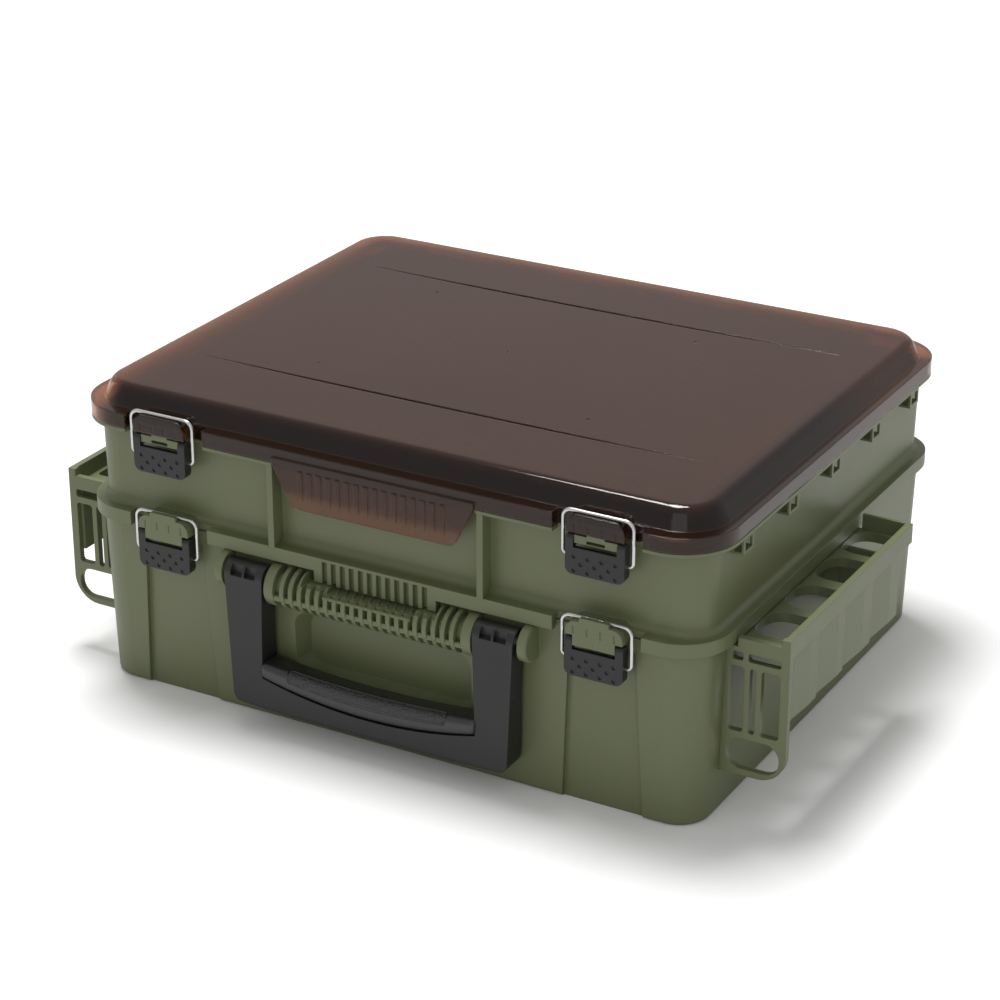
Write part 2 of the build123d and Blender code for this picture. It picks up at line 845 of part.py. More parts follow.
# ---------------------------------------------------------------- lid
deck_half = rim_length / 2 - 48.0
tongue_low = rim_low - 24.9
tongue_low_half = tongue_half - 13.0
tongue_front = rim_depth / 2 + 1.5
tongue_back = rim_depth / 2 - 1.0
strips = 16
strip_pitch = 6.2
strip_width = 3.1
strip_height = 0.8
groove_depth = 1.0
gate_x = -7.0
notch_wall = 2.1
ledge_z = rim_high
crescent_inset = 76.704  # from the rim's front to the groove's ends
crescent_y = rim_depth / 2 - crescent_inset
crescent_half = rim_length / 2 - 38.0


def crescent(y_ends, y_near, y_far):
    """Shallow crescent groove in the lid's top between two arcs with common ends."""
    with BuildSketch(Plane.XY.offset(lid_top - groove_depth)) as outline:
        with BuildLine():
            ThreePointArc((-crescent_half, y_ends), (0, y_near), (crescent_half, y_ends))
            ThreePointArc((crescent_half, y_ends), (0, y_far), (-crescent_half, y_ends))
        make_face()
    extrude(outline.sketch, amount=groove_depth + 1, mode=Mode.SUBTRACT)


with BuildPart() as lid:
    panel_length = rim_length - 2 * ledge_side
    panel_depth = rim_depth - 2 * ledge_front
    drafted_block(panel_length, panel_depth, panel_corner, ledge_z, lid_top, -bevel_draft)
    fillet(lid.faces().sort_by(Axis.Z)[-1].edges(), bevel_round)
    drafted_block(rim_length, rim_depth, rim_corner, rim_low, ledge_z)
    # sloping deck in front of the hinge
    with BuildSketch(Plane.YZ.offset(-deck_half)) as deck:
        with BuildLine():
            Polyline(
                (rim_depth / 2 - 22, lid_top - 1.6),
                (rim_depth / 2 - 0.6, rim_high + 2.4),
                (rim_depth / 2 - 0.2, rim_high - 1),
                (rim_depth / 2 - 22, rim_high - 1),
                close=True,
            )
        make_face()
    extrude(amount=2 * deck_half)
    # cavity
    drafted_block(
        rim_length - 2 * lid_wall,
        rim_depth - 2 * lid_wall,
        rim_corner - lid_wall,
        rim_low - 1,
        ledge_z - lid_wall,
        mode=Mode.SUBTRACT,
    )
    slack = lid_wall / cos(radians(bevel_draft)) - lid_wall * tan(radians(bevel_draft))
    drafted_block(
        panel_length - 2 * slack,
        panel_depth - 2 * slack,
        panel_corner - slack,
        ledge_z - lid_wall,
        lid_top - lid_wall,
        -bevel_draft,
        Mode.SUBTRACT,
    )
    with BuildSketch(Plane.YZ.offset(lid_wall - deck_half)) as deck_room:
        with BuildLine():
            Polyline(
                (rim_depth / 2 - 24, lid_top - 4),
                (rim_depth / 2 - 2.8, rim_high + 0.2),
                (rim_depth / 2 - 2.4, rim_high - 3),
                (rim_depth / 2 - 24, rim_high - 3),
                close=True,
            )
        make_face()
    extrude(amount=2 * (deck_half - lid_wall), mode=Mode.SUBTRACT)
    # latch notches with their closing walls, and the catches
    for side in (-1, 1):
        low, high = sorted((side * notch_inner, side * notch_outer))
        box_between(
            low - notch_wall,
            high + notch_wall,
            -rim_depth / 2,
            -notch_face + notch_wall,
            rim_low,
            ledge_z,
        )
        box_between(low, high, -190, -notch_face, rim_low - 1, ledge_z + 0.1, Mode.SUBTRACT)
        x = side * latch_x
        catch_top = wire_top_upper - wire_radius - groove_gap
        rounded_tab(
            x, tab_half, pivot_z + catch_low, catch_top + 0.6, 7, plate_front, 8.4 - rim_depth / 2
        )
        rounded_tab(
            x, tab_half, ledge_z - 2, catch_top + 0.6, 5, 8 - rim_depth / 2, 11.2 - rim_depth / 2
        )
        box_between(
            x - 30,
            x + 30,
            plate_front + catch_lip,
            10.6 - rim_depth / 2,
            catch_top,
            catch_top + 3,
            Mode.SUBTRACT,
        )
        ticks(x, plate_front, pivot_z + catch_low + 1.2, pivot_z + catch_low + 5.7)
    # front tongue with its grip strips
    with BuildSketch(Plane.XZ.offset(tongue_back)) as tongue:
        with BuildLine():
            Polyline(
                (-tongue_half, rim_low + 4),
                (-tongue_half, rim_low),
                (-tongue_low_half, tongue_low),
                (tongue_low_half, tongue_low),
                (tongue_half, rim_low),
                (tongue_half, rim_low + 4),
                close=True,
            )
        make_face()
        fillet(tongue.vertices().group_by(Axis.Y)[0], 6)
    extrude(amount=tongue_front - tongue_back)
    with Locations((0, -tongue_front, rim_low - 9.9)):
        with GridLocations(strip_pitch, 1, strips, 1):
            Box(strip_width, 2 * strip_height, 18)
    # grooves and gate marks in the top
    crescent(crescent_y, crescent_y - 4.3, crescent_y - 1.3)
    crescent(-crescent_y, -crescent_y - 3.7, -crescent_y - 0.7)
    with BuildSketch(Plane.XY.offset(lid_top)) as gates:
        with Locations((gate_x, 0)):
            with GridLocations(182, 141, 2, 2):
                Circle(1.3)
            Circle(1.3)
    extrude(amount=-0.4, mode=Mode.SUBTRACT)
    # hinge
    add(knuckle_room(inner_spans, lid_hinge_z), mode=Mode.SUBTRACT)
    add(
        knuckles(
            outer_spans,
            lid_hinge_z,
            rim_depth / 2 - 3,
            rim_low,
            lid_hinge_z + hinge_radius,
            hinge_pin + bore_clearance,
        )
    )
save(lid, "lid")

# ---------------------------------------------------------------- handle
leg_outer_low = leg_outer - 4.0
handle_low_end = 17.0
handle_low_mid = 13.9
groove_end_x = leg_inner + 2.0
groove_end_z = 36.0
groove_mid_z = 26.6
grip_top_end = 46.8
grip_top_mid = 43.0
grip_front = handle_front + grip_proud
grip_depth = 18.0
grip_round = 4.6
handle_rear = handle_front - handle_thickness
bulge = 2.5
handle_top = handle_pivot_z + handle_barrel

with BuildPart() as handle_side:
    with BuildSketch(Plane.YZ.offset(-leg_outer - 2)) as side_profile:
        with BuildLine():
            Polyline(
                (-handle_front, handle_pivot_z),
                (-handle_front, handle_low_mid - 1),
                (-handle_rear + bulge, handle_low_mid - 1),
                (-handle_rear + bulge, 38),
                (-handle_rear, 58),
                (-handle_rear, handle_pivot_z),
                close=True,
            )
        make_face()
        fillet(side_profile.vertices().group_by(Axis.Y)[0], 5)
        with Locations((handle_pivot_y, handle_pivot_z)):
            Circle(handle_barrel)
    extrude(amount=2 * leg_outer + 4)

with BuildPart() as handle:
    with BuildSketch(Plane.XZ.offset(handle_rear - bulge - 2)) as front_outline:
        with BuildLine():
            Line((-leg_outer_low, handle_low_end), (-leg_outer, handle_top + 1))
            Line((-leg_outer, handle_top + 1), (leg_outer, handle_top + 1))
            Line((leg_outer, handle_top + 1), (leg_outer_low, handle_low_end))
            ThreePointArc(
                (leg_outer_low, handle_low_end), (0, handle_low_mid), (-leg_outer_low, handle_low_end)
            )
        make_face()
        fillet(front_outline.vertices().group_by(Axis.Y)[0], 6)
        with BuildLine():
            Line((-groove_end_x, groove_end_z), (-leg_inner, handle_top + 2))
            Line((-leg_inner, handle_top + 2), (leg_inner, handle_top + 2))
            Line((leg_inner, handle_top + 2), (groove_end_x, groove_end_z))
            ThreePointArc(
                (groove_end_x, groove_end_z), (0, groove_mid_z), (-groove_end_x, groove_end_z)
            )
        make_face(mode=Mode.SUBTRACT)
    extrude(amount=handle_thickness + bulge + 8)
    add(handle_side.part, mode=Mode.INTERSECT)
    rod_along_x(
        handle_pin + 0.08, -leg_outer - 1, leg_outer + 1, handle_pivot_y, handle_pivot_z, Mode.SUBTRACT
    )
    for side in (-1, 1):
        for near, far in ((4.9, 12.4), (13.8, 21.8)):
            low, high = sorted((side * (leg_inner + near), side * (leg_inner + far)))
            box_between(
                low,
                high,
                -handle_front - 10,
                3.4 - handle_front,
                handle_pivot_z,
                handle_top + 1,
                Mode.SUBTRACT,
            )
save(handle, "handle")

with BuildPart() as handle_grip:
    with BuildSketch(Plane.XZ.offset(grip_front - grip_depth)):
        with BuildLine():
            ThreePointArc(
                (-groove_end_x, groove_end_z), (0, groove_mid_z), (groove_end_x, groove_end_z)
            )
            Line((groove_end_x, groove_end_z), (groove_end_x - 0.4, grip_top_end))
            ThreePointArc(
                (groove_end_x - 0.4, grip_top_end), (0, grip_top_mid), (0.4 - groove_end_x, grip_top_end)
            )
            Line((0.4 - groove_end_x, grip_top_end), (-groove_end_x, groove_end_z))
        make_face()
    extrude(amount=grip_depth)
    long_edges = handle_grip.edges().filter_by(GeomType.CIRCLE)
    fillet(long_edges, grip_round)
save(handle_grip, "handle_grip")

# ---------------------------------------------------------------- latches
flange = 2.0
dimple = 1.3
wire_sides = 8
dimple_pitch = 8.4
dimple_low = 2.4 - plate_height
wide_row = [(k - 1.5) * dimple_pitch for k in range(4)]
narrow_row = [(k - 1) * dimple_pitch for k in range(3)]
dimple_rows = (
    (dimple_low + 8.2, wide_row),
    (dimple_low + 4.2, narrow_row),
    (dimple_low, wide_row),
)
plate_back = plate_front + plate_depth

with BuildPart() as plate_side:
    with BuildSketch(Plane.YZ.offset(-plate_half - 1)):
        with Locations((pivot_y, pivot_z)):
            Circle(ear_radius)
        with Locations(((plate_front + plate_back) / 2, pivot_z - plate_height / 2)):
            Rectangle(plate_depth, plate_height)
    extrude(amount=2 * plate_half + 2)

with BuildPart() as latch_plate:
    with BuildSketch(Plane.XZ.offset(-plate_back - 1)) as plate_outline:
        with Locations((0, pivot_z + (ear_radius - plate_height) / 2)):
            Rectangle(2 * plate_half, ear_radius + plate_height)
        fillet(plate_outline.vertices().group_by(Axis.Y)[0], 4.5)
    extrude(amount=plate_depth + 2)
    add(plate_side.part, mode=Mode.INTERSECT)
    box_between(
        -window_half,
        window_half,
        plate_front - 1,
        plate_back + 2,
        pivot_z - window_drop,
        pivot_z + ear_radius + 1,
        Mode.SUBTRACT,
    )
    box_between(
        flange - plate_half,
        plate_half - flange,
        plate_front + plate_skin,
        plate_back + 2,
        pivot_z - plate_height + flange,
        pivot_z - window_drop,
        Mode.SUBTRACT,
    )
    for z, xs in dimple_rows:
        with BuildSketch(Plane.XZ.offset(-plate_front)) as pits:
            with Locations([(x, pivot_z + z) for x in xs]):
                RegularPolygon(dimple, 6)
        extrude(amount=-0.7, mode=Mode.SUBTRACT)
    rod_along_x(
        wire_radius + bore_clearance,
        -plate_half - 1,
        plate_half + 1,
        pivot_y + foot_back,
        pivot_z - foot_drop,
        Mode.SUBTRACT,
    )
    for side in (-1, 1):
        low, high = sorted((side * (window_half + 1), side * (bar_half - bar_bore_depth + 0.2)))
        rod_along_x(pivot_radius, low, high, pivot_y, pivot_z)


def bend_points(y, z_centre, x_centre, radius, start, steps):
    """Corners of a quarter bend of the wire in its upright plane, from an angle on."""
    angles = [radians(start + 90 * k / steps) for k in range(steps + 1)]
    return [(x_centre + radius * cos(a), y, z_centre + radius * sin(a)) for a in angles]


def wire_bail(wire_top):
    """Bent wire whose feet turn inwards into the plate's flanges."""
    y = pivot_y + foot_back
    z = pivot_z - foot_drop
    bend = 2.6
    tip = plate_half - flange - 0.6
    high = wire_top - wire_corner
    inner = wire_half - wire_corner
    right = bend_points(y, z + bend, wire_half - bend, bend, -90, 2)
    right = right + bend_points(y, high, inner, wire_corner, 0, 3)
    left = bend_points(y, high, -inner, wire_corner, 90, 3)
    left = left + bend_points(y, z + bend, bend - wire_half, bend, 180, 2)
    with BuildPart() as bail:
        with BuildLine() as path:
            Polyline((tip, y, z), *right, *left, (-tip, y, z))
        with BuildSketch(Plane(origin=path.line @ 0, z_dir=path.line % 0)):
            RegularPolygon(wire_radius, wire_sides)
        sweep(transition=Transition.RIGHT)
    return bail.part


upper_bail = wire_bail(wire_top_upper)
lower_bail = wire_bail(wire_top_lower + latch_offset)

for tier, drop, wire in (("upper", 0.0, upper_bail), ("lower", -latch_offset, lower_bail)):
    for side, name in ((-1, "left"), (1, "right")):
        with BuildPart() as placed_plate:
            with Locations((side * latch_x, 0, drop)):
                add(latch_plate.part)
        save(placed_plate, f"latch_plate_{tier}_{name}")
        with BuildPart() as placed_wire:
            with Locations((side * latch_x, 0, drop)):
                add(wire)
        save(placed_wire, f"latch_bail_{tier}_{name}")
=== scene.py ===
"""Looks of the two-tier fishing tackle cabinet: materials for its CAD nodes, the pieces that are
rounder than CAD facets (grip, wires), and a plain studio stage. Lengths are metres unless a name
ends in mm. Run as a script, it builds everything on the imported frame."""

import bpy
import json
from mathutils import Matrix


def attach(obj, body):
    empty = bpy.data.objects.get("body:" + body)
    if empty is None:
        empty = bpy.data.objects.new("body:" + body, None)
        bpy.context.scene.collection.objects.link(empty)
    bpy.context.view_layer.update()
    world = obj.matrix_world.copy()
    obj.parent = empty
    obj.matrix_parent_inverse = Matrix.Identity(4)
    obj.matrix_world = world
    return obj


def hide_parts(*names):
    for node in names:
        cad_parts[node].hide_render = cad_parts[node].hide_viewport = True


bl_info = {
    "name": "Tackle Cabinet Looks",
    "version": (1, 0, 0),
    "blender": (4, 5, 0),
    "location": "3D View > Sidebar > Cabinet",
    "description": "Builds the materials, detail pieces and stage of a fishing tackle cabinet",
    "category": "Object",
}

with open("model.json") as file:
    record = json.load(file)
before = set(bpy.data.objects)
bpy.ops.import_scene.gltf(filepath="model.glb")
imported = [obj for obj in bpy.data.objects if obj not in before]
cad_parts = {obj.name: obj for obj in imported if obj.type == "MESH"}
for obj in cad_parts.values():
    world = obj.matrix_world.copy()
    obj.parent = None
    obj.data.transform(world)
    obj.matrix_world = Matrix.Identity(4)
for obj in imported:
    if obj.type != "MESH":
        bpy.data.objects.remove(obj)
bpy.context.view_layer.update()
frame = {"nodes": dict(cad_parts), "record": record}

import json
import math

import bmesh
import bpy
import numpy as np
from bpy.props import FloatProperty, FloatVectorProperty, PointerProperty
from bpy.types import Operator, Panel, PropertyGroup
from mathutils import Matrix, Vector

NODES = frame["nodes"]
MM = 0.001
# raised panel of the grip, in its UV map; one unit across is once round the grip
GRIP_RATIO = 2.9  # length of the grip over its girth
PANEL_MIDDLE = 0.105
PANEL_HALF_ALONG = 1.02
PANEL_HALF_ACROSS = 0.045
PANEL_CORNER = 0.055
CABINET_RIM_LOW = 170.9  # lid's rim, mm above the floor
CABINET_RIM_HIGH = 180.0
# half sizes of the part of the lid's top that is flat but for its grooves, in metres
PLAIN_TOP_HALF = (0.172, 0.135)
GRIP_RISE_LOW = 9.4  # rise of the grip's edges from its middle to its ends, mm
GRIP_RISE_HIGH = 3.8
WIRE_TIP = 15.4  # half the gap between a wire's two feet, mm
WIRE_BEND = 2.6
WIRE_CORNER = 5.0
CAMERA_AZIMUTH, CAMERA_TILT = 29.26, 24.12  # degrees, of the photograph's view
CAMERA_PLACE = (0.77185, -1.40076, 0.81187)
# lamps: place, aim and side of the square
KEY_LAMP = ((-0.40, 0.26, 2.3), (0, 0, 0.0), 0.8)
FILL_LAMP = ((0.6, -2.3, 1.25), (0.0, 0, 0.1), 1.5)
# colour of the floor as light meets it, and as the camera sees it
FLOOR_MATT = (0.74, 0.74, 0.74, 1)
FLOOR_SEEN = (0.93, 0.925, 0.92, 1)
WHITE = (1, 1, 1, 1)


# ------------------------------------------------------------------ shader maths
class Signal:
    """A socket's value in a node tree; Python operators add the Math nodes for it."""

    def __init__(self, shader, socket):
        self.shader = shader
        self.socket = socket

    def _math(self, operation, a, b=None, clamp=False):
        values = {0: a} if b is None else {0: a, 1: b}
        settings = {"operation": operation, "use_clamp": clamp}
        return self.shader.node("ShaderNodeMath", settings, values)

    def __add__(self, other):
        return self._math("ADD", self, other)

    __radd__ = __add__

    def __sub__(self, other):
        return self._math("SUBTRACT", self, other)

    def __rsub__(self, other):
        return self._math("SUBTRACT", other, self)

    def __mul__(self, other):
        return self._math("MULTIPLY", self, other)

    __rmul__ = __mul__

    def __pow__(self, other):
        return self._math("POWER", self, other)

    def clipped(self):
        """The value held between 0 and 1."""
        return self._math("ADD", self, 0.0, clamp=True)

    def size(self):
        """The value without its sign."""
        return self.shader.node("ShaderNodeMath", {"operation": "ABSOLUTE"}, {0: self})

    def least(self, floor):
        """The value, but never under floor."""
        return self._math("MAXIMUM", self, floor)

    def above(self, other):
        """1 where the value is greater than other, else 0."""
        return self._math("GREATER_THAN", self, other)

    def ramp(self, low, high, to_low=0.0, to_high=1.0):
        """Smooth step of the value from low to high."""
        settings = {"interpolation_type": "SMOOTHSTEP", "clamp": True}
        values = {"Value": self, "From Min": low, "From Max": high, "To Min": to_low, "To Max": to_high}
        return self.shader.node("ShaderNodeMapRange", settings, values)


class Shader:
    """Builds one material's nodes. node() adds any node from its type, settings and sockets."""

    def __init__(self, name):
        self.material = bpy.data.materials.new(name)
        self.material.use_nodes = True
        self.tree = self.material.node_tree
        self.tree.nodes.clear()
        self.output = self.tree.nodes.new("ShaderNodeOutputMaterial")

    def node(self, kind, settings=None, values=None, out=0):
        """Adds a node: first its settings, then the values or links of its sockets."""
        added = self.tree.nodes.new(kind)
        for name, value in (settings or {}).items():
            setattr(added, name, value)
        for name, value in (values or {}).items():
            socket = added.inputs[name]
            if isinstance(value, Signal):
                self.tree.links.new(value.socket, socket)
            else:
                socket.default_value = value
        return Signal(self, added.outputs[out])

    def place(self):
        """Object coordinates, in metres in the frame."""
        return self.node("ShaderNodeTexCoord", out=3)

    def axes(self):
        """X, Y and Z of the object coordinates, as three signals."""
        split = self.tree.nodes.new("ShaderNodeSeparateXYZ")
        self.tree.links.new(self.place().socket, split.inputs[0])
        return [Signal(self, output) for output in split.outputs]

    def noise(self, scale, detail=2.0, roughness=0.5, where=None):
        """Noise from 0 to 1 whose features are about 1/scale metres wide."""
        values = {
            "Vector": where or self.place(),
            "Scale": scale,
            "Detail": detail,
            "Roughness": roughness,
        }
        return self.node("ShaderNodeTexNoise", {}, values)

    def stretched(self, sx, sy, sz):
        """Object coordinates scaled per axis, for grain that runs one way."""
        values = {"Vector": self.place(), "Scale": (sx, sy, sz)}
        return self.node("ShaderNodeMapping", {"vector_type": "POINT"}, values)

    def mix(self, factor, a, b, blend="MIX"):
        """Colour between a and b by the factor."""
        added = self.tree.nodes.new("ShaderNodeMix")
        added.data_type = "RGBA"
        added.blend_type = blend
        for index, value in ((0, factor), (6, a), (7, b)):
            if isinstance(value, Signal):
                self.tree.links.new(value.socket, added.inputs[index])
            elif index == 0:
                added.inputs[index].default_value = value
            else:
                added.inputs[index].default_value = (*value[:3], 1.0)
        return Signal(self, added.outputs[2])

    def rounded_normal(self, radius, samples=6):
        """Normal that is rounded near sharp edges by radius."""
        return self.node("ShaderNodeBevel", {"samples": samples}, {"Radius": radius})

    def edges(self, rounded, low=0.02, high=0.25):
        """Mask that is 1 on sharp edges: where the rounded normal leaves the true one."""
        true = self.node("ShaderNodeNewGeometry", out=3)
        settings = {"operation": "DOT_PRODUCT"}
        dot = self.node("ShaderNodeVectorMath", settings, {0: rounded, 1: true}, out=1)
        return (1.0 - dot).ramp(low, high)

    def bump(self, height, strength, distance, normal=None):
        """Normal tipped by a height signal, from the given normal or the surface's own."""
        values = {"Height": height, "Strength": strength, "Distance": distance}
        if normal is not None:
            values["Normal"] = normal
        return self.node("ShaderNodeBump", {}, values)

    def finish(self, **sockets):
        """Principled surface with the given sockets, joined to the output."""
        named = {key.replace("_", " ").title().replace("Ior", "IOR"): v for key, v in sockets.items()}
        surface = self.node("ShaderNodeBsdfPrincipled", {}, named)
        self.tree.links.new(surface.socket, self.output.inputs["Surface"])
        return self.material


def shade(colour, factor):
    """The colour made darker or lighter."""
    return tuple(min(1.0, c * factor) for c in colour[:3])


# ------------------------------------------------------------------ materials
def moulded_plastic(name, colour, roughness, grain, edge_gain, edge_radius):
    """Injection moulded plastic: fine spark-eroded grain, slow colour drift, and sharp edges drawn
    paler, partly as wear and partly as painted highlight.
    """
    s = Shader(name)
    rounded = s.rounded_normal(edge_radius)
    # mask of sharp edges broken by noise: it paints highlights along the edges as well as wear
    pale_edges = s.edges(rounded) * s.noise(180, 3).ramp(0.35, 0.7, 0.35, 1.0)
    drift = s.noise(9, 2)
    scuff = s.noise(1.0, 4, 0.6, s.stretched(420, 60, 260)).ramp(0.62, 0.8)
    base = s.mix(drift, shade(colour, 0.965), shade(colour, 1.035))
    base = s.mix(scuff * 0.10, base, shade(colour, 1.25))
    # painted highlight, partly wear: the sharp edges are drawn much paler
    base = s.mix(pale_edges * edge_gain, base, shade(colour, 1.7))
    pits = s.noise(grain, 2, 0.6)
    rough = roughness + (s.noise(40, 3) - 0.5) * 0.08 + scuff * 0.06 - pale_edges * 0.08
    normal = s.bump(pits, 0.22, 0.00006, rounded)
    return s.finish(base_color=base, roughness=rough, normal=normal, specular_ior_level=0.5)


def smoke_plastic(name, colour, glow, rim_low, rim_high, top):
    """See-through smoked polycarbonate, glossy, with hairline scuffs, dust and faint sink waves.
    Painted light: a warm glow in the rim, the far edges and the foot of the tongue stands in for
    light led through the wall. Painted shade: the near edges are dark and the grooves darkest.
    Near and far are those of the stage camera's side, so this painted light and shade is one-sided."""
    s = Shader(name)
    rounded = s.rounded_normal(0.0009)
    x, y, z = s.axes()
    under_top = z.ramp(rim_high - 0.001, rim_high + 0.001, 1.0, 0.0)
    rim = under_top * z.ramp(rim_low - 0.003, rim_low, 0.35, 1.0)
    edge = s.edges(rounded, 0.01, 0.2)
    # painted light: the far edges of the top take a glow colour, standing in for light behind them;
    # painted shade: its grooves are darkened
    far = (x * -1.0).ramp(0.180, 0.196) + y.ramp(0.138, 0.154)
    # painted shade mask: the right edge towards the front and the front edge, nearest the stage camera
    near = x.ramp(0.186, 0.198) * y.ramp(-0.02, 0.10, 1.0, 0.0) + y.ramp(-0.158, -0.146, 1.0, 0.0)
    # painted light mask: the edges, fully at the tongue, for the glow colour
    pale_edges = edge * z.ramp(rim_low - 0.004, rim_low - 0.001, 1.0, 0.35)
    plain = (PLAIN_TOP_HALF[0] - x.size()).above(0.0) * (PLAIN_TOP_HALF[1] - y.size()).above(0.0)
    groove = plain * z.ramp(top - 0.0007, top - 0.0002, 1.0, 0.0)
    hairs = s.noise(1.0, 5, 0.7, s.stretched(90, 900, 90)).ramp(0.6, 0.8)
    dust = s.noise(700, 3).ramp(0.64, 0.78)
    drift = s.noise(5, 2)
    base = s.mix(drift, shade(colour, 0.8), shade(colour, 1.25))
    # painted shade: the near edges are darkened nearly to black
    near = near.clipped() * z.ramp(rim_low - 0.003, rim_low, 0.0, 0.85)
    base = s.mix(near, base, shade(colour, 0.08))
    tongue = z.ramp(rim_low - 0.019, rim_low - 0.013, 1.0, 0.0)
    # painted light: the rim and the edges take the glow colour, standing in for light led through the
    # wall; then the tongue's foot and the far edges take paler glow
    base = s.mix((rim * 0.3 + pale_edges).clipped(), base, glow)
    base = s.mix(tongue * 0.7, base, shade(glow, 1.7))
    base = s.mix(far.clipped() * 0.8, base, shade(glow, 2.2))
    # painted shade: the grooves of the top are darkened nearly to black
    base = s.mix(groove * 0.9, base, (0.004, 0.003, 0.003))
    base = s.mix(dust * 0.12, base, (0.55, 0.5, 0.46))
    rough = 0.065 + hairs * 0.045 + dust * 0.05 + drift * 0.02 + groove * 0.5
    waves = s.noise(14, 2)
    normal = s.bump(waves, 0.05, 0.0006, rounded)
    return s.finish(
        base_color=base,
        roughness=rough,
        normal=normal,
        transmission_weight=0.82,
        ior=1.45,
    )


def drawn_steel(name, colour):
    """Bright drawn wire: fine lines along it and slight dulling."""
    s = Shader(name)
    lines = s.noise(1.0, 3, 0.6, s.stretched(3000, 3000, 220))
    rough = 0.20 + lines * 0.16
    base = s.mix(s.noise(120, 2), shade(colour, 0.86), shade(colour, 1.05))
    normal = s.bump(lines, 0.1, 0.00004)
    return s.finish(base_color=base, metallic=1.0, roughness=rough, normal=normal)


def grip_plastic(name, colour):
    """Soft grip plastic on the piece's own UV map, whose U runs along the grip and V round it:
    fine leather grain inside a raised contour line, plain satin outside it."""
    s = Shader(name)
    split = s.tree.nodes.new("ShaderNodeSeparateXYZ")
    s.tree.links.new(s.node("ShaderNodeTexCoord", out=2).socket, split.inputs[0])
    along, across = Signal(s, split.outputs[0]), Signal(s, split.outputs[1])
    # distance outside a rounded panel in UV, which is 0 on its contour
    dx = (along - 0.5).size() * GRIP_RATIO - PANEL_HALF_ALONG
    dy = (across - PANEL_MIDDLE).size() - PANEL_HALF_ACROSS
    outside = (dx.least(0.0) ** 2.0 + dy.least(0.0) ** 2.0) ** 0.5 - PANEL_CORNER
    line = outside.size().ramp(0.0, 0.018, 1.0, 0.0)
    panel = outside.ramp(-0.004, 0.004, 1.0, 0.0)
    grain = s.noise(800, 2, 0.6)
    fine = s.noise(3200, 2)
    drift = s.noise(30, 2)
    base = s.mix(drift, shade(colour, 0.93), shade(colour, 1.07))
    # painted highlight: the raised contour line is also drawn much paler, standing in for light caught
    # on its ridge
    base = s.mix(line * 0.5, base, shade(colour, 3.5))
    rough = 0.30 + panel * (grain - 0.4) * 0.2 + fine * 0.05
    height = line * 0.8 + panel * grain + fine * 0.06
    normal = s.bump(height, 1.0, 0.0011)
    return s.finish(base_color=base, roughness=rough, normal=normal, specular_ior_level=0.8)


def dress(node_name, material):
    """Gives a CAD node its material."""
    mesh = NODES[node_name].data
    mesh.materials.clear()
    mesh.materials.append(material)


# ------------------------------------------------------------------ surfaces
def surface(name, points, material, body, slot, replaces=()):
    """Closed mesh of a grid of points[ring, place round it]: quads between neighbouring rings, and
    a fan from each end ring to its mean. Its UV map holds ring and place as parts of 1."""
    rings, around = points.shape[:2]
    ring = np.arange(rings - 1)[:, None] * around
    place = np.arange(around)[None, :]
    after = (place + 1) % around
    corners = (ring + place, ring + after, ring + around + after, ring + around + place)
    quads = np.stack(corners, -1).reshape(-1, 4)
    uv_u = np.repeat(np.arange(rings - 1) / (rings - 1), around)
    uv_v = np.tile(np.arange(around) / around, rings - 1)
    step_u, step_v = 1 / (rings - 1), 1 / around
    quad_uv = np.stack(
        [
            np.stack([uv_u, uv_v], -1),
            np.stack([uv_u, uv_v + step_v], -1),
            np.stack([uv_u + step_u, uv_v + step_v], -1),
            np.stack([uv_u + step_u, uv_v], -1),
        ],
        1,
    )
    total = rings * around
    here, following = np.arange(around), (np.arange(around) + 1) % around
    last = total - around
    start = np.stack([np.full(around, total), following, here], -1)
    end = np.stack([np.full(around, total + 1), last + here, last + following], -1)
    cap_uv = np.zeros((2 * around, 3, 2))
    cap_uv[around:, :, 0] = 1.0
    cap_uv[:, :, 1] = np.tile(here / around, 2)[:, None]
    vertices = np.vstack([points.reshape(-1, 3), points[0].mean(0), points[-1].mean(0)])
    mesh = bpy.data.meshes.new(name)
    mesh.from_pydata(vertices, [], quads.tolist() + start.tolist() + end.tolist())
    uv = np.concatenate([quad_uv.reshape(-1), cap_uv.reshape(-1)])
    mesh.uv_layers.new(name="grid").data.foreach_set("uv", uv)
    work = bmesh.new()
    work.from_mesh(mesh)
    bmesh.ops.recalc_face_normals(work, faces=work.faces)
    work.to_mesh(mesh)
    work.free()
    mesh.polygons.foreach_set("use_smooth", np.ones(len(mesh.polygons), bool))
    mesh.materials.append(material)
    piece = bpy.data.objects.new(name, mesh)
    bpy.context.scene.collection.objects.link(piece)
    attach(piece, body)
    if replaces:
        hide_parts(*replaces)
    return piece


def node_box(name):
    """Lowest and highest corner of a CAD node's mesh, in metres."""
    mesh = NODES[name].data
    points = np.empty(3 * len(mesh.vertices))
    mesh.vertices.foreach_get("co", points)
    points = points.reshape(-1, 3)
    return points.min(0), points.max(0)


def body_of(node):
    """Body that a CAD node belongs to."""
    return next(body for body, nodes in frame["record"]["behaviour"]["bodies"].items() if node in nodes)


def quarter(centre_x, centre_z, radius, start, steps):
    """Quarter of a circle as rows x, z: centre plus radius times cosine and sine."""
    angle = np.radians(np.linspace(start, start - 90, steps + 1))
    return np.stack([centre_x + radius * np.cos(angle), centre_z + radius * np.sin(angle)], -1)


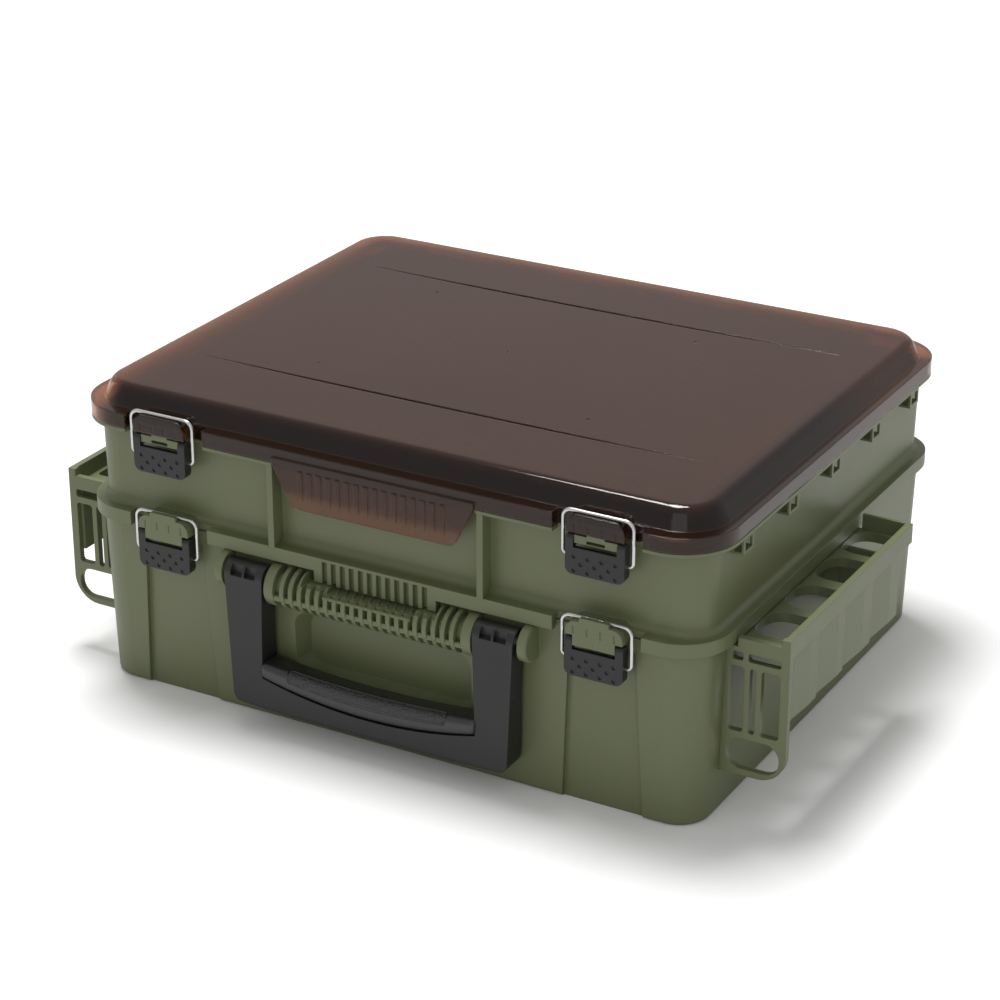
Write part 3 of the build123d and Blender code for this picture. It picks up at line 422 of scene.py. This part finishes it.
def wire_points(low, high, tip, bend, corner, around=20):
    """Round wire that fills the box low to high: its centre line runs in from one foot, round a
    small bend, up, round a corner and across to the mirrored other half; each ring is a circle
    about it in the plane of Y and the line's own normal."""
    radius = (high[1] - low[1]) / 2
    middle, half = (low[0] + high[0]) / 2, (high[0] - low[0]) / 2 - radius
    floor, top = low[2] + radius, high[2] - radius
    left = np.vstack(
        [
            [[-tip, floor]],
            quarter(bend - half, floor + bend, bend, 270, 8),
            quarter(corner - half, top - corner, corner, 180, 12),
        ]
    )
    line = np.vstack([left, left[::-1] * (-1, 1)])
    ahead = np.gradient(line, axis=0)
    ahead = ahead / np.linalg.norm(ahead, axis=1, keepdims=True)
    normal = np.stack([-ahead[:, 1], ahead[:, 0]], -1)
    turn = np.linspace(0, 2 * np.pi, around, endpoint=False)
    swing = radius * np.cos(turn)[None, :]
    x = middle + line[:, :1] + normal[:, :1] * swing
    z = line[:, 1:] + normal[:, 1:] * swing
    y = (low[1] + high[1]) / 2 + radius * np.sin(turn)[None, :] + 0 * x
    return np.stack([x, y, z], -1)


def grip_points(low, high, rise_low, rise_high, ends, rings=97, around=64, square=3.0):
    """Grip that fills the box low to high: a superellipse of the power square, carried along X,
    whose lower and upper edges follow parabolas that rise towards both ends. The end rings are
    drawn in by a quarter round."""
    bow = np.linspace(-1, 1, rings)[:, None]
    turn = np.linspace(0, 2 * np.pi, around, endpoint=False)[None, :]
    lower = low[2] + rise_low * bow**2
    upper = high[2] - rise_high * (1 - bow**2)
    reach = np.clip((1 - np.abs(bow)) / ends, 0, 1)
    draw = np.sqrt(1 - (1 - reach) ** 2) * 0.10 + 0.90
    across, upright = np.cos(turn), np.sin(turn)
    power = 2 / square
    depth = np.sign(across) * np.abs(across) ** power * (high[1] - low[1]) / 2 * draw
    height = np.sign(upright) * np.abs(upright) ** power * (upper - lower) / 2 * draw
    x = (low[0] + high[0]) / 2 + (high[0] - low[0]) / 2 * bow + 0 * turn
    return np.stack([x, (low[1] + high[1]) / 2 - depth, (upper + lower) / 2 + height], -1)


# ------------------------------------------------------------------ settings
class CabinetColours(PropertyGroup):
    """Colours of the cabinet's finishes."""

    green: FloatVectorProperty(
        name="Green plastic", description="Boxes, racks and hinge comb", subtype="COLOR",
        default=(0.148, 0.168, 0.084), min=0, max=1,
    )
    smoke: FloatVectorProperty(
        name="Smoke plastic", description="Tint of the clear lid", subtype="COLOR",
        default=(0.150, 0.052, 0.022), min=0, max=1,
    )
    # painted light: a glow colour put into the lid's colour at its rim and edges, standing in for light
    # led through the thin plastic
    rim_glow: FloatVectorProperty(
        name="Rim glow", description="Warm tint of the lid's thin rim and edges", subtype="COLOR",
        default=(0.26, 0.125, 0.065), min=0, max=1,
    )
    charcoal: FloatVectorProperty(
        name="Charcoal plastic", description="Handle and latch plates", subtype="COLOR",
        default=(0.017, 0.017, 0.0165), min=0, max=1,
    )
    steel: FloatVectorProperty(
        name="Steel", description="Wires and pins", subtype="COLOR",
        default=(0.72, 0.72, 0.71), min=0, max=1,
    )
    divider: FloatVectorProperty(
        name="Divider plastic", description="Loose dividers", subtype="COLOR",
        default=(0.10, 0.11, 0.08), min=0, max=1,
    )


class CabinetStage(PropertyGroup):
    """Floor, light and camera."""

    floor_size: FloatProperty(
        name="Floor size", description="Side of the floor", default=12.0, min=2, unit="LENGTH"
    )
    key_power: FloatProperty(
        name="Key light", description="Power of the key light", default=50.0, min=0, unit="POWER"
    )
    fill_power: FloatProperty(
        name="Fill light", description="Power of the fill light", default=4.0, min=0, unit="POWER"
    )
    sky: FloatProperty(
        name="Sky", description="Strength of the even light from all round", default=0.48, min=0
    )
    lens: FloatProperty(
        name="Lens", description="Focal length in mm", default=102.366, min=10
    )


def settings():
    return bpy.context.scene.cabinet_colours, bpy.context.scene.cabinet_stage


# ------------------------------------------------------------------ operators
class CABINET_OT_stage(Operator):
    """Floor, sky, lamps and the camera at the photograph's angle. The floor and the sky look white
    straight on and through the lid, and light everything else at their plain level"""

    bl_idname = "cabinet.stage"
    bl_label = "Stage"

    def execute(self, context):
        _, stage = settings()
        self.floor(stage)
        self.sky(context, stage)
        self.lamps(stage)
        self.camera(context, stage)
        view = context.scene.view_settings
        view.view_transform = "Standard"
        return {"FINISHED"}

    def floor(self, stage):
        half = stage.floor_size / 2
        corners = [(-half, -half, 0), (half, -half, 0), (half, half, 0), (-half, half, 0)]
        mesh = bpy.data.meshes.new("floor")
        mesh.from_pydata(corners, [], [(0, 1, 2, 3)])
        s = Shader("pale_floor")
        path = s.tree.nodes.new("ShaderNodeLightPath")
        straight = Signal(s, path.outputs["Is Camera Ray"])
        seen = (straight + Signal(s, path.outputs["Is Transmission Ray"])).clipped()
        x, y, _ = s.axes()
        away = (x * x + y * y) ** 0.5
        far = away.ramp(0.3, 1.6, 0.03, 0.9)
        matt = s.node("ShaderNodeBsdfDiffuse", {}, {"Color": FLOOR_MATT})
        white = s.node("ShaderNodeBsdfDiffuse", {}, {"Color": FLOOR_SEEN})
        glow = s.node("ShaderNodeEmission", {}, {"Color": WHITE, "Strength": far})
        both = s.node("ShaderNodeAddShader", {}, {0: white, 1: glow})
        mixed = s.node("ShaderNodeMixShader", {}, {0: seen, 1: matt, 2: both})
        s.tree.links.new(mixed.socket, s.output.inputs["Surface"])
        mesh.materials.append(s.material)
        floor = bpy.data.objects.new("floor", mesh)
        bpy.context.scene.collection.objects.link(floor)

    def sky(self, context, stage):
        world = bpy.data.worlds.new("studio_sky")
        context.scene.world = world
        world.use_nodes = True
        tree = world.node_tree
        tree.nodes.clear()
        path = tree.nodes.new("ShaderNodeLightPath")
        back = tree.nodes.new("ShaderNodeBackground")
        light = tree.nodes.new("ShaderNodeBackground")
        mixer = tree.nodes.new("ShaderNodeMixShader")
        out = tree.nodes.new("ShaderNodeOutputWorld")
        both = tree.nodes.new("ShaderNodeMath")
        both.operation = "ADD"
        both.use_clamp = True
        back.inputs["Color"].default_value = WHITE
        back.inputs["Strength"].default_value = 1.0
        light.inputs["Color"].default_value = WHITE
        light.inputs["Strength"].default_value = stage.sky
        tree.links.new(path.outputs["Is Camera Ray"], both.inputs[0])
        tree.links.new(path.outputs["Is Transmission Ray"], both.inputs[1])
        tree.links.new(both.outputs[0], mixer.inputs[0])
        tree.links.new(light.outputs[0], mixer.inputs[1])
        tree.links.new(back.outputs[0], mixer.inputs[2])
        tree.links.new(mixer.outputs[0], out.inputs[0])

    def lamps(self, stage):
        self.softbox("key_light", *KEY_LAMP, stage.key_power)
        self.softbox("fill_light", *FILL_LAMP, stage.fill_power)

    @staticmethod
    def softbox(name, place, target, size, power):
        lamp = bpy.data.lights.new(name, "AREA")
        lamp.shape = "SQUARE"
        lamp.size = size
        lamp.energy = power
        holder = bpy.data.objects.new(name, lamp)
        aim = Vector(target) - Vector(place)
        holder.rotation_euler = aim.to_track_quat("-Z", "Y").to_euler()
        holder.location = place
        bpy.context.scene.collection.objects.link(holder)

    @staticmethod
    def camera(context, stage):
        """Looks along minus back; right, up and back are the columns of its turn."""
        eye = bpy.data.cameras.new("photo_camera")
        eye.sensor_width = 36.0
        eye.lens = stage.lens
        eye.clip_end = 100
        holder = bpy.data.objects.new("photo_camera", eye)
        azimuth, tilt = math.radians(CAMERA_AZIMUTH), math.radians(CAMERA_TILT)
        right = Vector((math.cos(azimuth), math.sin(azimuth), 0))
        back = Vector(
            (math.sin(azimuth) * math.cos(tilt), -math.cos(azimuth) * math.cos(tilt), math.sin(tilt))
        )
        up = back.cross(right)
        turn = Matrix((right, up, back)).transposed().to_4x4()
        holder.matrix_world = Matrix.Translation(CAMERA_PLACE) @ turn
        context.scene.collection.objects.link(holder)
        context.scene.camera = holder


class CABINET_OT_green_plastic(Operator):
    """Green plastic of the lower box, the tray, the racks and the hinge comb"""

    bl_idname = "cabinet.green_plastic"
    bl_label = "Green plastic"

    def execute(self, context):
        colours, _ = settings()
        green = moulded_plastic("green_plastic", colours.green, 0.40, 3200, 0.35, 0.0007)
        for name in ("lower_body", "upper_tray", "rack_left", "rack_right", "hinge_comb"):
            dress(name, green)
        return {"FINISHED"}


class CABINET_OT_smoke_lid(Operator):
    """Smoked clear plastic of the lid"""

    bl_idname = "cabinet.smoke_lid"
    bl_label = "Smoke lid"

    def execute(self, context):
        colours, _ = settings()
        rim_high = CABINET_RIM_HIGH * MM
        rim_low = CABINET_RIM_LOW * MM
        top = float(node_box("lid")[1][2])
        smoke = smoke_plastic("smoke_plastic", colours.smoke, colours.rim_glow, rim_low, rim_high, top)
        dress("lid", smoke)
        return {"FINISHED"}


class CABINET_OT_charcoal_plastic(Operator):
    """Charcoal plastic of the handle and the latch plates"""

    bl_idname = "cabinet.charcoal_plastic"
    bl_label = "Charcoal plastic"

    def execute(self, context):
        colours, _ = settings()
        charcoal = moulded_plastic("charcoal_plastic", colours.charcoal, 0.42, 2600, 0.5, 0.0006)
        for name in [n for n in NODES if n.startswith("latch_plate")] + ["handle"]:
            dress(name, charcoal)
        return {"FINISHED"}


class CABINET_OT_grip(Operator):
    """Rounded hand grip of the handle, in place of the CAD solid"""

    bl_idname = "cabinet.grip"
    bl_label = "Grip"

    def execute(self, context):
        colours, _ = settings()
        low, high = node_box("handle_grip")
        material = grip_plastic("grip_plastic", colours.charcoal)
        points = grip_points(low, high, GRIP_RISE_LOW * MM, GRIP_RISE_HIGH * MM, 0.03)
        surface("hand_grip", points, material, "handle", "charcoal_plastic", ("handle_grip",))
        return {"FINISHED"}


class CABINET_OT_metal(Operator):
    """Steel of the latch wires and the pins"""

    bl_idname = "cabinet.metal"
    bl_label = "Metal"

    def execute(self, context):
        colours, _ = settings()
        steel = drawn_steel("drawn_steel", colours.steel)
        for name in NODES:
            if name.endswith("pin") or name.startswith("handle_pin"):
                dress(name, steel)
        for name in [n for n in NODES if n.startswith("latch_bail")]:
            low, high = node_box(name)
            points = wire_points(low, high, WIRE_TIP * MM, WIRE_BEND * MM, WIRE_CORNER * MM)
            wire = name.replace("latch_bail", "wire")
            surface(wire, points, steel, body_of(name), "steel_wire", (name,))
        return {"FINISHED"}


class CABINET_OT_dividers(Operator):
    """Dark plastic of the loose dividers"""

    bl_idname = "cabinet.dividers"
    bl_label = "Dividers"

    def execute(self, context):
        colours, _ = settings()
        plate = moulded_plastic("divider_plastic", colours.divider, 0.45, 2600, 0.4, 0.0005)
        for name in NODES:
            if "divider" in name:
                dress(name, plate)
        return {"FINISHED"}


class CABINET_PT_panel(Panel):
    """Lists the cabinet's pieces in the sidebar"""

    bl_label = "Tackle Cabinet"
    bl_idname = "CABINET_PT_panel"
    bl_space_type = "VIEW_3D"
    bl_region_type = "UI"
    bl_category = "Cabinet"

    def draw(self, context):
        for operator in OPERATORS:
            self.layout.operator(operator.bl_idname)


OPERATORS = (
    CABINET_OT_stage,
    CABINET_OT_green_plastic,
    CABINET_OT_smoke_lid,
    CABINET_OT_charcoal_plastic,
    CABINET_OT_grip,
    CABINET_OT_metal,
    CABINET_OT_dividers,
)
CLASSES = (CabinetColours, CabinetStage, *OPERATORS, CABINET_PT_panel)


def register():
    for cls in CLASSES:
        bpy.utils.register_class(cls)
    bpy.types.Scene.cabinet_colours = PointerProperty(type=CabinetColours)
    bpy.types.Scene.cabinet_stage = PointerProperty(type=CabinetStage)


def unregister():
    del bpy.types.Scene.cabinet_stage
    del bpy.types.Scene.cabinet_colours
    for cls in reversed(CLASSES):
        bpy.utils.unregister_class(cls)


def main():
    register()
    for operator in OPERATORS:
        group, name = operator.bl_idname.split(".")
        getattr(getattr(bpy.ops, group), name)()


if __name__ == "__main__":
    main()
